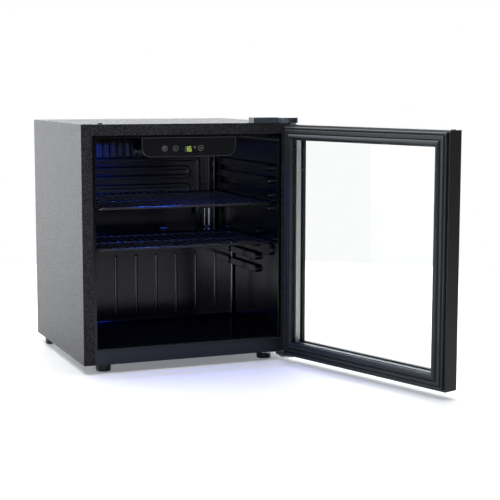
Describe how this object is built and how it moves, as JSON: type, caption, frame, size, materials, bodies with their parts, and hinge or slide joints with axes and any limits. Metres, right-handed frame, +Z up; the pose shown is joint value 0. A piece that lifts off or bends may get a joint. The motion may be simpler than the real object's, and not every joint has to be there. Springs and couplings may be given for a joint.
{
  "type": "mini fridge",
  "caption": "Countertop drinks fridge with a steel cabinet, double-glazed side-hinged door shown open, wire shelves, ribbed black interior, control panel under the roof and rear condenser.",
  "frame": {"origin": "centre of the front left foot's resting face, on the floor", "axes": "+X to the right seen from the front, +Y towards the back, +Z up"},
  "size_m": [0.5815, 0.8593, 0.504],
  "materials": {
    "textured_steel": "satin",
    "liner_plastic": "satin",
    "sill_plastic": "satin",
    "door_plastic": "satin",
    "control_plastic": "gloss",
    "gasket_rubber": "matte",
    "magnet_strip": "matte",
    "foot_rubber": "matte",
    "clear_glass": "gloss",
    "anodised_spacer": "satin",
    "bare_aluminium": "satin",
    "zinc_steel": "satin",
    "galvanised_sheet": "matte",
    "black_wire": "satin",
    "black_steel": "satin",
    "cover_plastic": "satin",
    "plug_plastic": "satin",
    "insulation": "matte",
    "copper_tube": "satin",
    "white_plastic": "satin",
    "natural_plastic": "satin",
    "bush_plastic": "satin",
    "circuit_board": "satin",
    "lamp": "gloss",
    "display": "gloss"
  },
  "bodies": {
    "cabinet": {"outer_wrapper": "textured_steel", "back_panel": "galvanised_sheet", "base_pan": "galvanised_sheet", "recess_lining": "galvanised_sheet", "compressor_deck": "galvanised_sheet", "inner_liner": "liner_plastic", "insulation_foam": "insulation", "front_sill": "sill_plastic", "stud_inserts": "zinc_steel", "rear_feet": "foot_rubber", "top_hinge_plate": "zinc_steel", "bottom_hinge_plate": "zinc_steel", "top_hinge_pin": "zinc_steel", "bottom_hinge_pin": "zinc_steel", "top_hinge_cover": "cover_plastic", "top_hinge_screws": "zinc_steel", "bottom_hinge_screws": "zinc_steel", "hinge_backings": "zinc_steel", "hole_plugs": "plug_plastic", "control_fascia": "control_plastic", "control_housing": "liner_plastic", "display_window": "display", "control_board": "circuit_board", "lamp_lens": "lamp", "lamp_strip": "white_plastic", "temperature_probe": "white_plastic", "evaporator_plate": "bare_aluminium", "evaporator_standoffs": "liner_plastic", "evaporator_screws": "zinc_steel", "line_sleeve": "foot_rubber", "compressor_shell": "black_steel", "compressor_grommets": "foot_rubber", "compressor_bolts": "zinc_steel", "starter_box": "door_plastic", "drip_tray": "natural_plastic", "drain_tube": "natural_plastic", "filter_drier": "copper_tube", "power_inlet": "door_plastic", "condenser_coil": "black_steel", "condenser_brackets": "door_plastic", "bracket_screws": "zinc_steel", "refrigerant_lines": "copper_tube"},
    "door": {"door_frame": "door_plastic", "door_bezel": "door_plastic", "outer_glass": "clear_glass", "inner_glass": "clear_glass", "glass_spacer": "anodised_spacer", "door_gasket": "gasket_rubber", "gasket_magnets": "magnet_strip", "hinge_bushes": "bush_plastic", "door_hole_plugs": "plug_plastic"},
    "upper_shelf": {"upper_shelf": "black_wire"},
    "lower_shelf": {"lower_shelf": "black_wire"},
    "power_button": {"power_button": "control_plastic"},
    "down_button": {"down_button": "control_plastic"},
    "up_button": {"up_button": "control_plastic"},
    "front_left_foot": {"front_left_foot": "foot_rubber"},
    "front_right_foot": {"front_right_foot": "foot_rubber"}
  },
  "joints": [
    {"name": "door_hinge", "type": "hinge", "parent": "cabinet", "child": "door", "pos_m": [0.389, -0.059, 0.25], "axis": [0, 0, 1], "range_deg": [-107.5, 22.5]},
    {"name": "upper_shelf_slide", "type": "slide", "parent": "cabinet", "child": "upper_shelf", "axis": [0, -1, 0], "range_m": [0, 0.2]},
    {"name": "lower_shelf_slide", "type": "slide", "parent": "cabinet", "child": "lower_shelf", "axis": [0, -1, 0], "range_m": [0, 0.13]},
    {"name": "power_button_press", "type": "slide", "parent": "cabinet", "child": "power_button", "axis": [0, 1, 0], "range_m": [0, 0.001], "stiffness_N_per_m": 600, "springref_m": -0.002},
    {"name": "down_button_press", "type": "slide", "parent": "cabinet", "child": "down_button", "axis": [0, 1, 0], "range_m": [0, 0.001], "stiffness_N_per_m": 600, "springref_m": -0.002},
    {"name": "up_button_press", "type": "slide", "parent": "cabinet", "child": "up_button", "axis": [0, 1, 0], "range_m": [0, 0.001], "stiffness_N_per_m": 600, "springref_m": -0.002},
    {"name": "front_left_foot_turn", "type": "hinge", "parent": "cabinet", "child": "front_left_foot", "pos_m": [0, 0, 0.01], "axis": [0, 0, 1], "range_deg": [-360, 360]},
    {"name": "front_right_foot_turn", "type": "hinge", "parent": "cabinet", "child": "front_right_foot", "pos_m": [0.349, 0, 0.01], "axis": [0, 0, 1], "range_deg": [-360, 360]}
  ]
}
